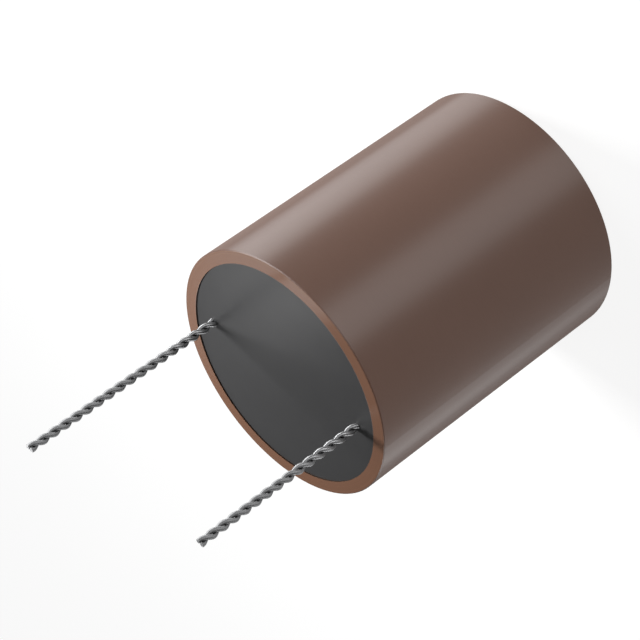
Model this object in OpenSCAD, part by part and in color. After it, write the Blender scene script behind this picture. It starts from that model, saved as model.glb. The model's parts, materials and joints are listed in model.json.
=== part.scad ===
// Tubular paper capacitor with both leads at one end.
// It stands on its rear end. +Z runs up the axis to the leads, +X from the long lead to the short one.

/* [Case] */
// Outside diameter of the paper tube
case_d = 45; // [38:0.5:70]
// Length of the paper tube
case_l = 54; // [40:0.5:90]
// Wall of the paper tube
case_wall = 2.4; // [1.2:0.1:4]
// Chamfer on the outer edges of the paper tube
case_chamfer = 0.15; // [0.05:0.05:0.5]

/* [Seals] */
// Depth of each resin face below the edge of the tube
seal_recess = 0.25; // [0.05:0.05:1]
// Thickness of the resin at the lead end
front_seal_t = 6; // [4:0.1:10]
// Thickness of the resin at the rear end
rear_seal_t = 6; // [3:0.1:10]

/* [Winding] */
// Outside diameter of the core tube
core_d = 9; // [6:0.5:14]
// Wall of the core tube
core_wall = 1.5; // [0.5:0.1:2.5]
// Thickness of the insulating wrap round the roll
wrap_t = 0.4; // [0.1:0.05:1]
// Thickness of the metal layer on each end of the roll
contact_t = 0.8; // [0.3:0.1:2]

/* [Return strap] */
// Thickness of the strap
strap_t = 0.25; // [0.1:0.05:0.6]
// Width of the strap beside the solder
strap_margin = 0.8; // [0.2:0.1:2]
// Free gap between the strap and the bore of the tube
strap_clearance = 0.15; // [0.05:0.05:0.5]
// Thickness of the card pad under the front end of the strap
pad_t = 0.3; // [0.1:0.05:1]
// Width of the pad beside the strap
pad_margin = 1.5; // [0.5:0.1:3]

/* [Leads] */
// Diameter of one wire
wire_d = 0.8; // [0.5:0.05:1.2]
// Gap between the two wires of a lead
wire_gap = 0.02; // [0.01:0.01:0.1]
// Length in which a pair of wires makes one full turn
twist_pitch = 4.53; // [3.5:0.01:8]
// Length of the long lead beyond the tube
long_lead_l = 38.6; // [10:0.1:80]
// Length of the short lead beyond the tube
short_lead_l = 32.9; // [10:0.1:80]
// Distance from the bore of the tube to the axis of each lead
lead_inset = 3.95; // [3.4:0.05:8]
// Direction of the long lead's first wire at the edge of the tube, in degrees from +X
long_lead_turn = 171.5; // [0:0.5:360]
// Direction of the short lead's first wire at the edge of the tube, in degrees from +X
short_lead_turn = 73.5; // [0:0.5:360]

/* [Solder] */
// Radius of the hollow solder fillet round a lead
fillet_r = 1.2; // [0.5:0.1:1.6]
// Thickness of the foot of a solder joint, which is also the solder under the wires
solder_foot = 0.2; // [0.1:0.05:0.5]
// Height of the rounded solder on the rear end of the strap
rear_joint_h = 0.9; // [0.7:0.1:2]

/* [Hidden] */
$fn = 96;

paper_brown = "#6d4d3e";
resin_grey = "#4b4b4c";
tin_grey = "#a7a8aa";
roll_tan = "#c9b58c";
core_tan = "#9c7a52";
wrap_cream = "#d8cdb0";
zinc_grey = "#8d9093";
strap_silver = "#b9babc";
pad_green = "#5d6b58";
solder_silver = "#c3c4c6";

// Sides of a wire's section, and rings of points in each turn of the twist
wire_sides = 10;
rings_per_turn = 12;

case_r = case_d / 2;
bore_r = case_r - case_wall;
wrap_r = bore_r - strap_clearance - strap_t;
roll_r = wrap_r - wrap_t;
core_r = core_d / 2;

// Heights of the resin faces and of the outer faces of the two contacts
rear_face = seal_recess;
front_face = case_l - seal_recess;
rear_z = rear_face + rear_seal_t;
front_z = front_face - front_seal_t;
strap_front_z = front_z + pad_t;

wire_r = wire_d / 2;
twist_r = wire_r + wire_gap / 2;
lead_r = twist_r + wire_r;
lead_x = bore_r - lead_inset;
lay_angle = atan(2 * PI * twist_r / twist_pitch);

joint_r = lead_r + fillet_r;
strap_w = 2 * (joint_r + strap_margin);
strap_end_x = lead_x - strap_w / 2;

// A lead is [x of its axis, height of the face it is soldered to, height of its tip, turn of its first wire]
long_lead = [-lead_x, front_z, case_l + long_lead_l, long_lead_turn];
short_lead = [lead_x, strap_front_z + strap_t, case_l + short_lead_l, short_lead_turn];

// Tube between two radii and two heights
module tube(outer_r, inner_r, z0, z1)
    translate([0, 0, z0])
    rotate_extrude()
    translate([inner_r, 0])
    square([outer_r - inner_r, z1 - z0]);

// Height at which a lead's wires start, with solder under them
function wire_foot(lead) = lead[1] + solder_foot;

// Number of steps along a lead's wires, and the height of one of them
function step_count(lead) = ceil(rings_per_turn * (lead[2] - wire_foot(lead)) / twist_pitch);
function step_height(lead) = (lead[2] - wire_foot(lead)) / step_count(lead);

// Steps that carry a wire just past the resin's front face
function buried_steps(lead) = ceil((front_face - wire_foot(lead)) / step_height(lead)) + 1;

// Level ring of points on the surface of a round wire that winds about its lead's axis.
// Round the wire, a point at one height belongs to a section a little further along the helix: its lag.
function wire_ring(lead, z, turn) = [
    for (side = [0 : wire_sides - 1])
        let (
            around = 360 * side / wire_sides,
            lag = 360 * wire_r * sin(around) * sin(lay_angle) / twist_pitch,
            angle = turn + 360 * (z - case_l) / twist_pitch + lag,
            out = twist_r + wire_r * cos(around),
            along = wire_r * sin(around) * cos(lay_angle)
        )
        [lead[0] + out * cos(angle) - along * sin(angle), out * sin(angle) + along * cos(angle), z]
];

// Two triangles between a step's ring and the next, at one side of the wire
function wire_facets(step, side) =
    let (
        next_side = (side + 1) % wire_sides,
        low = step * wire_sides,
        high = low + wire_sides
    )
    [
        [low + side, high + side, high + next_side],
        [low + side, high + next_side, low + next_side]
    ];

// One wire of a lead, from its foot up to the given number of steps, with flat cut ends
module wire(lead, turn, steps) {
    rings = [
        for (step = [0 : steps])
            each wire_ring(lead, wire_foot(lead) + step * step_height(lead), turn)
    ];
    walls = [
        for (step = [0 : steps - 1], side = [0 : wire_sides - 1])
            each wire_facets(step, side)
    ];
    foot = [for (side = [0 : wire_sides - 1]) side];
    tip = [for (side = [wire_sides - 1 : -1 : 0]) steps * wire_sides + side];
    polyhedron(rings, concat(walls, [foot], [tip]), convexity = 20);
}

// Whole wire of a lead, the first or, half a turn on, the second
module lead_wire(lead, second)
    color(tin_grey)
    wire(lead, lead[3] + (second ? 180 : 0), step_count(lead));

// Passage that both wires of a lead leave in the solder and the resin
module lead_passage(lead)
    for (half_turn = [0, 180])
        wire(lead, lead[3] + half_turn, buried_steps(lead));

// Outer form of the solder round a lead: a flat foot and a hollow fillet
module joint_form(lead)
    translate([lead[0], 0, lead[1]])
    rotate_extrude() {
        square([joint_r, solder_foot]);
        difference() {
            square([joint_r, solder_foot + fillet_r]);
            translate([joint_r, solder_foot + fillet_r]) circle(fillet_r);
        }
    }

// Solder that holds both wires of a lead
module lead_joint(lead)
    color(solder_silver)
    difference() {
        joint_form(lead);
        lead_passage(lead);
    }

// Rounded lump of solder over the rear end of the strap, cut from a ball by the contact's face
module rear_joint_form() {
    ball_r = (joint_r * joint_r + rear_joint_h * rear_joint_h) / (2 * rear_joint_h);
    translate([strap_end_x, 0, rear_z])
    intersection() {
        translate([0, 0, ball_r - rear_joint_h]) sphere(ball_r);
        translate([0, 0, -rear_joint_h]) cylinder(r = joint_r, h = rear_joint_h);
    }
}

// Section of the strap: a front tab, the run along the wrap and a rear tab, with rounded bends
module strap_section() {
    tab_l = wrap_r - strap_end_x;
    translate([strap_end_x, strap_front_z]) square([tab_l, strap_t]);
    translate([strap_end_x, rear_z - strap_t]) square([tab_l, strap_t]);
    translate([wrap_r, rear_z]) square([strap_t, strap_front_z - rear_z]);
    for (bend_z = [rear_z, strap_front_z])
        intersection() {
            translate([wrap_r, bend_z]) circle(strap_t);
            translate([wrap_r, bend_z == rear_z ? rear_z - strap_t : strap_front_z]) square(strap_t);
        }
}

// Strip of even width on the +X side
module strip(width, z0, z1)
    translate([0, -width / 2, z0])
    cube([case_r, width, z1 - z0]);

module case_tube()
    color(paper_brown)
    rotate_extrude()
    polygon([
        [bore_r, 0],
        [case_r - case_chamfer, 0],
        [case_r, case_chamfer],
        [case_r, case_l - case_chamfer],
        [case_r - case_chamfer, case_l],
        [bore_r, case_l]
    ]);

module front_seal()
    color(resin_grey)
    difference() {
        translate([0, 0, front_z]) cylinder(r = bore_r, h = front_seal_t);
        strap_insulator();
        return_strap();
        for (lead = [long_lead, short_lead]) {
            joint_form(lead);
            lead_passage(lead);
        }
    }

module rear_seal()
    color(resin_grey)
    difference() {
        translate([0, 0, rear_face]) cylinder(r = bore_r, h = rear_seal_t);
        return_strap();
        rear_joint_form();
    }

module winding()
    color(roll_tan)
    tube(roll_r, core_r, rear_z + contact_t, front_z - contact_t);

module winding_core()
    color(core_tan)
    tube(core_r, core_r - core_wall, rear_z, front_z);

module winding_wrap()
    color(wrap_cream)
    tube(wrap_r, roll_r, rear_z, front_z);

module front_contact()
    color(zinc_grey)
    tube(roll_r, core_r, front_z - contact_t, front_z);

module rear_contact()
    color(zinc_grey)
    tube(roll_r, core_r, rear_z, rear_z + contact_t);

module return_strap()
    color(strap_silver)
    intersection() {
        rotate_extrude() strap_section();
        strip(strap_w, 0, case_l);
    }

module strap_insulator()
    color(pad_green)
    intersection() {
        tube(wrap_r, strap_end_x - pad_margin, front_z, strap_front_z);
        strip(strap_w + 2 * pad_margin, front_z, strap_front_z);
    }

module front_joint() lead_joint(long_lead);

module strap_joint() lead_joint(short_lead);

module rear_joint()
    color(solder_silver)
    difference() {
        rear_joint_form();
        return_strap();
    }

module long_lead_wire_1() lead_wire(long_lead, false);

module long_lead_wire_2() lead_wire(long_lead, true);

module short_lead_wire_1() lead_wire(short_lead, false);

module short_lead_wire_2() lead_wire(short_lead, true);

case_tube();
front_seal();
rear_seal();
winding();
winding_core();
winding_wrap();
front_contact();
rear_contact();
return_strap();
strap_insulator();
front_joint();
strap_joint();
rear_joint();
long_lead_wire_1();
long_lead_wire_2();
short_lead_wire_1();
short_lead_wire_2();
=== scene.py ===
import json
import math

import bpy
from mathutils import Matrix, Vector

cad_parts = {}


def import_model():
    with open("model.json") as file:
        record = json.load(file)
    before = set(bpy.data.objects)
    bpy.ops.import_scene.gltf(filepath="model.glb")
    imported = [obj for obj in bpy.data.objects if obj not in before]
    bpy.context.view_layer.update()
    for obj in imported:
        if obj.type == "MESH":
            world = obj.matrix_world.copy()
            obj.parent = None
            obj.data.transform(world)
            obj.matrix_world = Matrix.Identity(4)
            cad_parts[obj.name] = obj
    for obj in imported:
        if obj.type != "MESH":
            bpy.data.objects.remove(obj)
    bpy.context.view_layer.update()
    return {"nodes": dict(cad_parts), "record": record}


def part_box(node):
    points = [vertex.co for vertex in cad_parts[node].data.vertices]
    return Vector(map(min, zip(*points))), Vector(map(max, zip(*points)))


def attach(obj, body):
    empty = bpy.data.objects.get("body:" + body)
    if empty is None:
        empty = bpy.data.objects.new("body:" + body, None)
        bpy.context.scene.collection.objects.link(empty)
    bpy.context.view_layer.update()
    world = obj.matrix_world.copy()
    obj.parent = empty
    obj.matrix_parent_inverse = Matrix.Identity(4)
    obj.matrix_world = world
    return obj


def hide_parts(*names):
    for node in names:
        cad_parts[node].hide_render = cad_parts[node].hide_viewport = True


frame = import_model()

# Lengths below are in metres, and MM turns millimetres into them
MM = 0.001

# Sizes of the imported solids
tube_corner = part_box("case_tube")[1]
CASE_R = tube_corner.x
CASE_L = tube_corner.z
BORE_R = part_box("front_seal")[1].x

# The leads, as the solids have them: one wire, the gap in a pair, one full turn of the twist
WIRE_R = 0.4 * MM
WIRE_GAP = 0.02 * MM
TWIST_PITCH = 4.53 * MM
# Direction of each lead's first wire at the edge of the tube, from +X
LEAD_TURNS = {"long_lead": math.radians(171.5), "short_lead": math.radians(73.5)}
TWIST_R = WIRE_R + WIRE_GAP / 2
LAY_ANGLE = math.atan(2 * math.pi * TWIST_R / TWIST_PITCH)

# How finely the wires are drawn, and how far their cut ends are eased
WIRE_SIDES = 28
RINGS_PER_TURN = 48
EASE = 0.07 * MM
EASE_RINGS = 5
# Name of the map that is laid over each wire
WIRE_MAP = "wire"

# The camera, fitted to the outlines in the picture: its line of sight and upward direction, the point
# that the picture is centred on, how far away the camera stands, and how wide it sees
SIGHT = Vector((-0.5, -math.sqrt(0.5), -0.5))
PICTURE_UP = Vector((-0.5, math.sqrt(0.5), -0.5))
PICTURE_CENTRE = Vector((0, 0.274 * CASE_R, CASE_L - 0.376 * CASE_R))
SIGHT_DISTANCE = 17.115 * CASE_R
PICTURE_ANGLE = math.radians(15)

# Plain colours, linear
TUBE_BROWN = (0.117, 0.060, 0.041)
RIM_BROWN = (0.176, 0.088, 0.054)
# Near-black brown of the bore strip just above the resin: painted shade in the recess, far darker than the
# tube's own brown
BORE_SHADE_BROWN = (0.026, 0.014, 0.009)
RESIN_GREY = (0.043, 0.043, 0.044)
TIN_GREY = (0.270, 0.272, 0.276)
ROLL_TAN = (0.560, 0.450, 0.250)
CORE_TAN = (0.330, 0.190, 0.085)
WRAP_CREAM = (0.680, 0.600, 0.420)
ZINC_GREY = (0.260, 0.275, 0.290)
STRAP_GREY = (0.480, 0.480, 0.490)
CARD_GREEN = (0.110, 0.145, 0.095)
SOLDER_GREY = (0.540, 0.540, 0.550)

# The gloss of the tube runs along its axis. The slight lean gives it a direction on the level ends too.
GLOSS_RUN = (0.02, 0.02, 1.0)
# How far the gloss is drawn out on the tube and on the wires, where 0 is not at all
TUBE_DRAWN_OUT = 0.9
WIRE_DRAWN_OUT = 0.6
# Roughness of the tube's wall, of its cut ends and of the bore above the resin
WALL_ROUGHNESS = 0.46
END_ROUGHNESS = 0.25
BORE_ROUGHNESS = 0.30
# What is added where the outside of the tube is seen edge on, so that its sheen stays soft there
EDGE_DULLING = 0.54
# How far edge on a face is seen where the dulling starts, and where it is full
EDGE_ON_FROM = 0.66
EDGE_ON_FULL = 0.88
# How level a face is where the look of the wall starts to turn into that of an end, and where it has
END_FROM = 0.80
END_FULL = 0.95
# Distances beyond the bore's radius over which its look ends, in the tube's cut end
BORE_FADE_FROM = 0.02 * MM
BORE_FADE_TO = 0.06 * MM

# Roughness of the wires near the tube and further out, and the heights above the tube where it changes
NEAR_ROUGHNESS = 0.48
FAR_ROUGHNESS = 0.68
NEAR_HEIGHT = 8 * MM
FAR_HEIGHT = 15 * MM
# Painted shade on a wire where it faces the other wire of its pair: how dark it gets there, and the cosines
# of the angle round the wire between which it turns dark
GROOVE_SHADE_TONE = 0.70
GROOVE_SHADE_FULL = -0.8
GROOVE_SHADE_FROM = 0.2
# Stretch of the drawing marks round a wire and along it, and how bright the tin is where seen edge on
MARK_STRETCH = (9, 0.5, 1)
TIN_EDGE = 0.2

# Settings of the plain finishes inside the tube
INNER_FINISHES = {
    "roll": dict(base=ROLL_TAN, specular=0.3, roughness=0.6, stretch=(0.3, 0.3, 1), scale=6.0),
    "hard_paper": dict(base=CORE_TAN, specular=0.4, roughness=0.5, stretch=(0.3, 0.3, 2)),
    "wrap_paper": dict(base=WRAP_CREAM, specular=0.3, roughness=0.7, stretch=(0.4, 0.4, 2)),
    "sprayed_metal": dict(base=ZINC_GREY, specular=0.5, roughness=0.6, metallic=1.0, scale=7.0),
    "tinned_strip": dict(base=STRAP_GREY, specular=0.5, roughness=0.3, metallic=1.0, stretch=(0.2, 3, 0.2)),
    "card": dict(base=CARD_GREEN, specular=0.3, roughness=0.75),
    "solder": dict(base=SOLDER_GREY, specular=0.5, roughness=0.3, metallic=1.0, scale=1.5),
}

# The floor's side, its own grey, how bright it looks by itself, and the even light from all round
FLOOR_SIZE = 20.0
FLOOR_GREY = 0.25
FLOOR_GLOW = 0.86
WORLD_LEVEL = 0.10


class Finish:
    """One material. Its patterns are laid out in millimetres of the part's own frame."""

    def __init__(self, name, specular, metallic=0.0):
        self.material = bpy.data.materials.new(name)
        self.material.use_nodes = True
        self.nodes = self.material.node_tree.nodes
        self.links = self.material.node_tree.links
        self.shader = self.nodes["Principled BSDF"]
        self.shader.inputs["Specular IOR Level"].default_value = specular
        self.shader.inputs["Metallic"].default_value = metallic

    def add(self, kind, inputs, **settings):
        """New node, with sockets joined or values set on its inputs."""
        node = self.nodes.new(kind)
        for key, value in settings.items():
            setattr(node, key, value)
        for key, value in inputs.items():
            if isinstance(value, bpy.types.NodeSocket):
                self.links.new(value, node.inputs[key])
            else:
                node.inputs[key].default_value = value
        return node

    def math(self, operation, first, second=0.0):
        """Result of a calculation on one or two values."""
        return self.add("ShaderNodeMath", {0: first, 1: second}, operation=operation).outputs[0]

    def stretched(self, vector, stretch):
        """Vector times a stretch along each axis."""
        return self.add("ShaderNodeVectorMath", {0: vector, 1: stretch}, operation="MULTIPLY").outputs[0]

    def along(self, vector, axis):
        """Share of a vector along one axis."""
        return self.add("ShaderNodeSeparateXYZ", {0: vector}).outputs[axis]

    def place(self, stretch=(1, 1, 1)):
        """Place on the part in millimetres, times a stretch along each axis."""
        coordinates = self.add("ShaderNodeTexCoord", {}).outputs["Object"]
        return self.stretched(coordinates, [value / MM for value in stretch])

    def radius(self):
        """Distance from the tube's axis in millimetres."""
        level_place = self.place((1, 1, 0))
        return self.add("ShaderNodeVectorMath", {0: level_place}, operation="LENGTH").outputs["Value"]

    def level(self):
        """How far a face looks up or down, from 0 on a wall to 1 on an end."""
        normal = self.add("ShaderNodeNewGeometry", {}).outputs["Normal"]
        return self.math("ABSOLUTE", self.along(normal, "Z"))

    def noise(self, vector, scale, detail=2.0):
        """Soft pattern of clouds between 0 and 1."""
        inputs = {"Vector": vector, "Scale": scale, "Detail": detail}
        return self.add("ShaderNodeTexNoise", inputs).outputs["Fac"]

    def between(self, value, low, high, from_low=0.0, from_high=1.0):
        """Value carried from one range to another, and held there."""
        inputs = {"Value": value, "From Min": from_low, "From Max": from_high}
        inputs.update({"To Min": low, "To Max": high})
        return self.add("ShaderNodeMapRange", inputs).outputs["Result"]

    def tone(self, first, first_spread, second, second_spread):
        """Tone about 1 that two patterns vary, each by its own spread."""
        first_tone = self.between(first, 1 - first_spread, 1 + first_spread)
        second_tone = self.between(second, 1 - second_spread, 1 + second_spread)
        return self.math("MULTIPLY", first_tone, second_tone)

    def mix(self, share, first, second):
        """Colour between two colours, or direction between two directions."""
        inputs = {0: share, 6: self.colour(first), 7: self.colour(second)}
        return self.add("ShaderNodeMix", inputs, data_type="RGBA").outputs[2]

    def shade(self, colour, value):
        """Colour times a value."""
        return self.add("ShaderNodeVectorMath", {0: colour, "Scale": value}, operation="SCALE").outputs[0]

    @staticmethod
    def colour(value):
        """Three numbers as a colour socket's four, and a socket as it is."""
        if isinstance(value, tuple):
            return (*value, 1.0)
        return value

    def draw_out_gloss(self, amount, direction, turn=0.0):
        """Draws the gloss out along a direction, or across it where the turn is a quarter."""
        self.links.new(direction, self.shader.inputs["Tangent"])
        self.shader.inputs["Anisotropic"].default_value = amount
        self.shader.inputs["Anisotropic Rotation"].default_value = turn

    def done(self, colour, roughness, height, depth):
        """Joins the colour, the roughness and a relief of the given depth in millimetres."""
        bump = self.add("ShaderNodeBump", {"Height": height, "Distance": depth * MM})
        self.links.new(colour, self.shader.inputs["Base Color"])
        self.links.new(roughness, self.shader.inputs["Roughness"])
        self.links.new(bump.outputs["Normal"], self.shader.inputs["Normal"])
        return self.material


def wall_colour(finish, fibre):
    """Brown of the tube's wall, with faint clouds and fibres."""
    cloud = finish.noise(finish.place((0.10, 0.10, 0.07)), 1.0)
    return finish.shade(TUBE_BROWN, finish.tone(cloud, 0.06, fibre, 0.07))


def rim_colour(finish, grain):
    """Brown of the tube's cut ends, ringed by the layers of the laminate."""
    inputs = {"W": finish.radius(), "Scale": 4.5, "Detail": 2.0}
    layers = finish.add("ShaderNodeTexNoise", inputs, noise_dimensions="1D").outputs["Fac"]
    return finish.shade(RIM_BROWN, finish.tone(layers, 0.14, grain, 0.07))


def tube_gloss(finish, bore_share):
    """Draws the tube's gloss out along its axis, and round it in the bore."""
    run = finish.add("ShaderNodeCombineXYZ", dict(zip("XYZ", GLOSS_RUN))).outputs["Vector"]
    ring = finish.add("ShaderNodeTangent", {}, direction_type="RADIAL", axis="Z").outputs["Tangent"]
    finish.draw_out_gloss(TUBE_DRAWN_OUT, finish.mix(bore_share, run, ring))


def tube_roughness(finish, end_share, bore_share, grain):
    """Roughness of the tube's wall, ends and bore, with a fine grain."""
    edge_on = finish.add("ShaderNodeLayerWeight", {"Blend": 0.5}).outputs["Facing"]
    dulling = finish.between(edge_on, 0.0, EDGE_DULLING, EDGE_ON_FROM, EDGE_ON_FULL)
    outside = finish.math("ADD", finish.between(end_share, WALL_ROUGHNESS, END_ROUGHNESS), dulling)
    smooth = finish.between(bore_share, outside, BORE_ROUGHNESS)
    return finish.math("ADD", finish.between(grain, -0.04, 0.04), smooth)


def paper_tube():
    """Varnished brown paper laminate: fibres run round the wall, and the cut ends show the layers."""
    finish = Finish("paper_tube", specular=0.65)
    fibre = finish.noise(finish.place((0.5, 0.5, 7.0)), 1.0, detail=3.0)
    grain = finish.noise(finish.place(), 5.0, detail=3.0)
    fade = [(BORE_R + distance) / MM for distance in (BORE_FADE_FROM, BORE_FADE_TO)]
    bore_share = finish.between(finish.radius(), 1.0, 0.0, *fade)
    # The chamfer on the outer edges counts as wall, because only nearly level faces are ends
    end_share = finish.between(finish.level(), 0.0, 1.0, END_FROM, END_FULL)
    # The bore strip above the resin takes the near-black brown, which is painted shade in the recess
    sides = finish.mix(bore_share, wall_colour(finish, fibre), BORE_SHADE_BROWN)
    colour = finish.mix(end_share, sides, rim_colour(finish, grain))
    tube_gloss(finish, bore_share)
    roughness = tube_roughness(finish, end_share, bore_share, grain)
    height = finish.math("ADD", fibre, finish.math("MULTIPLY", grain, 0.5))
    return finish.done(colour, roughness, height, depth=0.006)


def resin():
    """Dark grey casting resin: a poured face with a faint swell and fine filler grain."""
    finish = Finish("resin", specular=0.4)
    swell = finish.noise(finish.place(), 0.12, detail=1.0)
    cloud = finish.noise(finish.place(), 0.35, detail=3.0)
    grain = finish.noise(finish.place(), 9.0, detail=3.0)
    colour = finish.shade(RESIN_GREY, finish.tone(cloud, 0.05, grain, 0.06))
    roughness = finish.between(grain, 0.28, 0.34)
    height = finish.math("ADD", finish.math("MULTIPLY", swell, 3.0), finish.math("MULTIPLY", grain, 0.05))
    return finish.done(colour, roughness, height, depth=0.012)


def painted_groove_shade(finish, wire_place):
    """Painted shade round a wire: 1 outwards, darker towards the pair's other wire, as shade in the crease.
    """
    around = finish.math("DIVIDE", finish.along(wire_place, "X"), WIRE_R / MM)
    return finish.between(finish.math("COSINE", around), GROOVE_SHADE_TONE, 1.0, GROOVE_SHADE_FULL, GROOVE_SHADE_FROM)


def tinned_wire():
    """Tinned copper wire with drawing marks along it, cleaner near the resin and duller further out."""
    finish = Finish("tinned_wire", specular=0.5, metallic=1.0)
    finish.shader.inputs["Specular Tint"].default_value = (TIN_EDGE, TIN_EDGE, TIN_EDGE, 1.0)
    ring = finish.add("ShaderNodeTangent", {}, direction_type="UV_MAP", uv_map=WIRE_MAP).outputs["Tangent"]
    finish.draw_out_gloss(WIRE_DRAWN_OUT, ring, turn=0.25)
    wire_place = finish.add("ShaderNodeUVMap", {}, uv_map=WIRE_MAP).outputs["UV"]
    marks = finish.noise(finish.stretched(wire_place, MARK_STRETCH), 1.0)
    cloud = finish.noise(finish.place(), 1.4, detail=3.0)
    # The tone holds the drawing marks and clouds, and the painted shade in the crease between the two wires
    tone = finish.math("MULTIPLY", finish.tone(marks, 0.12, cloud, 0.12), painted_groove_shade(finish, wire_place))
    heights = [(CASE_L + height) / MM for height in (NEAR_HEIGHT, FAR_HEIGHT)]
    dulling = finish.between(finish.along(finish.place(), "Z"), NEAR_ROUGHNESS, FAR_ROUGHNESS, *heights)
    roughness = finish.math("ADD", dulling, finish.between(cloud, -0.06, 0.06))
    return finish.done(finish.shade(TIN_GREY, tone), roughness, marks, depth=0.006)


def grained(name, base, specular, roughness, metallic=0.0, stretch=(1, 1, 1), scale=4.0):
    """Plain inner finish: one colour with a grain, which may be drawn out along an axis."""
    finish = Finish(name, specular, metallic)
    grain = finish.noise(finish.place(stretch), scale, detail=4.0)
    cloud = finish.noise(finish.place(), 0.4)
    colour = finish.shade(base, finish.tone(grain, 0.18, cloud, 0.08))
    grain_roughness = finish.between(grain, roughness - 0.07, roughness + 0.07)
    return finish.done(colour, grain_roughness, grain, depth=0.02)


def finishes():
    """Every material, by the slot that it belongs to."""
    made = {"paper_tube": paper_tube(), "resin": resin(), "tinned_wire": tinned_wire()}
    for slot, settings in INNER_FINISHES.items():
        made[slot] = grained(slot, **settings)
    return made


def add_object(name, data):
    """New object in the scene."""
    thing = bpy.data.objects.new(name, data)
    bpy.context.scene.collection.objects.link(thing)
    return thing


def wire_point(axis_x, z, turn, around, share):
    """Point on a round wire that winds about its lead's axis, at one height. Share is 1 on its surface."""
    reach = WIRE_R * share
    lag = 2 * math.pi * reach * math.sin(around) * math.sin(LAY_ANGLE) / TWIST_PITCH
    angle = turn + 2 * math.pi * (z - CASE_L) / TWIST_PITCH + lag
    out = TWIST_R + reach * math.cos(around)
    along = reach * math.sin(around) * math.cos(LAY_ANGLE)
    x = axis_x + out * math.cos(angle) - along * math.sin(angle)
    y = out * math.sin(angle) + along * math.cos(angle)
    return (x, y, z)


def wire_rings(foot_z, tip_z):
    """Height and share of each ring of a wire, with a rounded edge at the tip."""
    run = tip_z - EASE - foot_z
    count = math.ceil(RINGS_PER_TURN * run / TWIST_PITCH)
    rings = [(foot_z + run * step / count, 1.0) for step in range(count + 1)]
    for step in range(1, EASE_RINGS + 1):
        angle = math.pi / 2 * step / EASE_RINGS
        height = tip_z - EASE + EASE * math.sin(angle)
        rings.append((height, 1.0 - EASE / WIRE_R * (1.0 - math.cos(angle))))
    return rings


def wire_faces(ring_count):
    """Faces between the rings of a wire, and last the two flat ones at its foot and at its tip."""
    faces = []
    for ring in range(ring_count - 1):
        low = ring * WIRE_SIDES
        high = low + WIRE_SIDES
        for side in range(WIRE_SIDES):
            after = (side + 1) % WIRE_SIDES
            faces.append((low + side, low + after, high + after, high + side))
    last = (ring_count - 1) * WIRE_SIDES
    faces.append(tuple(range(WIRE_SIDES - 1, -1, -1)))
    faces.append(tuple(last + side for side in range(WIRE_SIDES)))
    return faces


def map_wire(mesh):
    """Map of a wire in millimetres round it and along it, for its finish."""
    layer = mesh.uv_layers.new(name=WIRE_MAP)
    girth = 2 * math.pi * WIRE_R / MM
    for face in mesh.polygons:
        sides = [mesh.loops[loop].vertex_index % WIRE_SIDES for loop in face.loop_indices]
        # The face that closes a ring runs on to the full girth, and not back to 0
        closes = len(sides) == 4 and max(sides) - min(sides) > 1
        for loop, side in zip(face.loop_indices, sides):
            vertex = mesh.loops[loop].vertex_index
            turned = side + WIRE_SIDES if closes and side == 0 else side
            layer.data[loop].uv = (girth * turned / WIRE_SIDES, mesh.vertices[vertex].co.z / MM)


def smooth_wire(node, axis_x, turn, material):
    """Smooth wire in the place of a packed one."""
    lo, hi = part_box(node)
    rings = wire_rings(lo.z, hi.z)
    points = []
    for z, share in rings:
        for side in range(WIRE_SIDES):
            points.append(wire_point(axis_x, z, turn, 2 * math.pi * side / WIRE_SIDES, share))
    faces = wire_faces(len(rings))
    mesh = bpy.data.meshes.new(node + "_smooth")
    mesh.from_pydata(points, [], faces)
    mesh.polygons.foreach_set("use_smooth", [True] * (len(faces) - 2) + [False] * 2)
    mesh.materials.append(material)
    map_wire(mesh)
    wire = add_object(node + "_smooth", mesh)
    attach(wire, "root")
    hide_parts(node)


def lead(name, turn, material):
    """Both wires of a lead, half a turn apart about the lead's own axis."""
    nodes = [name + "_wire_1", name + "_wire_2"]
    boxes = [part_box(node) for node in nodes]
    axis_x = (min(lo.x for lo, hi in boxes) + max(hi.x for lo, hi in boxes)) / 2
    for index, node in enumerate(nodes):
        smooth_wire(node, axis_x, turn + index * math.pi, material)


def dress(materials):
    """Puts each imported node's finish in its material slots."""
    slots = {part["node"]: part["material_slot"] for part in frame["record"]["subparts"]}
    for name, node in frame["nodes"].items():
        for index in range(len(node.data.materials)):
            node.data.materials[index] = materials[slots[name]]


def floor_finish():
    """Pale floor that looks white in the picture and in reflections, and lights nothing else by itself."""
    material = bpy.data.materials.new("floor")
    material.use_nodes = True
    nodes = material.node_tree.nodes
    links = material.node_tree.links
    shader = nodes["Principled BSDF"]
    shader.inputs["Base Color"].default_value = (FLOOR_GREY, FLOOR_GREY, FLOOR_GREY, 1)
    shader.inputs["Roughness"].default_value = 1.0
    shader.inputs["Specular IOR Level"].default_value = 0.0
    shader.inputs["Emission Color"].default_value = (FLOOR_GLOW, FLOOR_GLOW, FLOOR_GLOW, 1)
    path = nodes.new("ShaderNodeLightPath")
    seen = path.outputs["Is Camera Ray"]
    for ray in ("Is Glossy Ray", "Is Transmission Ray"):
        either = nodes.new("ShaderNodeMath")
        either.operation = "MAXIMUM"
        links.new(seen, either.inputs[0])
        links.new(path.outputs[ray], either.inputs[1])
        seen = either.outputs[0]
    links.new(seen, shader.inputs["Emission Strength"])
    return material


def floor():
    """Floor under the part, which keeps the part's shadow."""
    half = FLOOR_SIZE / 2
    corners = [(-half, -half, 0), (half, -half, 0), (half, half, 0), (-half, half, 0)]
    mesh = bpy.data.meshes.new("floor")
    mesh.from_pydata(corners, [], [(0, 1, 2, 3)])
    mesh.materials.append(floor_finish())
    add_object("floor", mesh)


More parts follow.
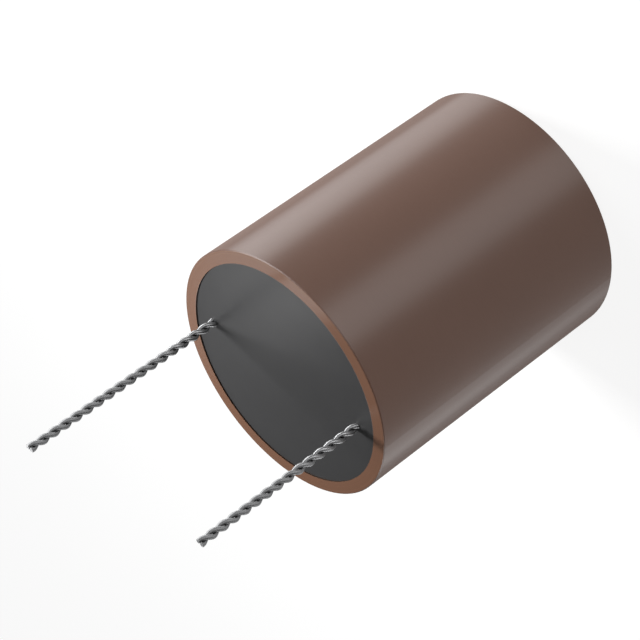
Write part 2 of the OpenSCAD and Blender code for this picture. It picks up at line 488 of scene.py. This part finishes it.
def world():
    """Even pale light from all round."""
    sky = bpy.data.worlds.new("studio")
    sky.use_nodes = True
    background = sky.node_tree.nodes["Background"]
    background.inputs["Color"].default_value = (1, 1, 1, 1)
    background.inputs["Strength"].default_value = WORLD_LEVEL
    bpy.context.scene.world = sky


def softbox(name, azimuth, elevation, distance, width, height, watts):
    """Soft lamp that looks at the middle of the tube. Azimuth is its direction from +X, in degrees."""
    data = bpy.data.lights.new(name, "AREA")
    data.shape = "RECTANGLE"
    data.size = width
    data.size_y = height
    data.energy = watts
    lamp = add_object(name, data)
    turn = math.radians(azimuth)
    rise = math.radians(elevation)
    toward = Vector((math.cos(turn) * math.cos(rise), math.sin(turn) * math.cos(rise), math.sin(rise)))
    middle = Vector((0, 0, CASE_L / 2))
    lamp.location = middle + distance * toward
    lamp.rotation_euler = toward.to_track_quat("Z", "Y").to_euler()


def lamps():
    """Two near lamps, for the shadows and the sheen on the front end, and three low ones for the wall."""
    softbox("key_lamp", azimuth=182, elevation=60, distance=0.17, width=0.036, height=0.040, watts=0.27)
    softbox("back_lamp", azimuth=219, elevation=53, distance=0.106, width=0.030, height=0.030, watts=0.0065)
    softbox("side_lamp", azimuth=153, elevation=5, distance=1.0, width=0.60, height=0.20, watts=11.0)
    softbox("front_lamp", azimuth=60, elevation=5, distance=1.0, width=0.60, height=0.20, watts=5.7)
    softbox("edge_lamp", azimuth=300, elevation=5, distance=1.0, width=0.55, height=0.20, watts=4.3)


def camera():
    """Camera on the picture's line of sight."""
    data = bpy.data.cameras.new("camera")
    data.angle = PICTURE_ANGLE
    eye = add_object("camera", data)
    back = -SIGHT
    right = PICTURE_UP.cross(back)
    pose = Matrix((right, PICTURE_UP, back)).transposed().to_4x4()
    pose.translation = PICTURE_CENTRE + SIGHT_DISTANCE * back
    eye.matrix_world = pose
    bpy.context.scene.camera = eye


bpy.context.scene.view_settings.view_transform = "Standard"
camera()
materials = finishes()
dress(materials)
for lead_name, lead_turn in LEAD_TURNS.items():
    lead(lead_name, lead_turn, materials["tinned_wire"])
floor()
world()
lamps()
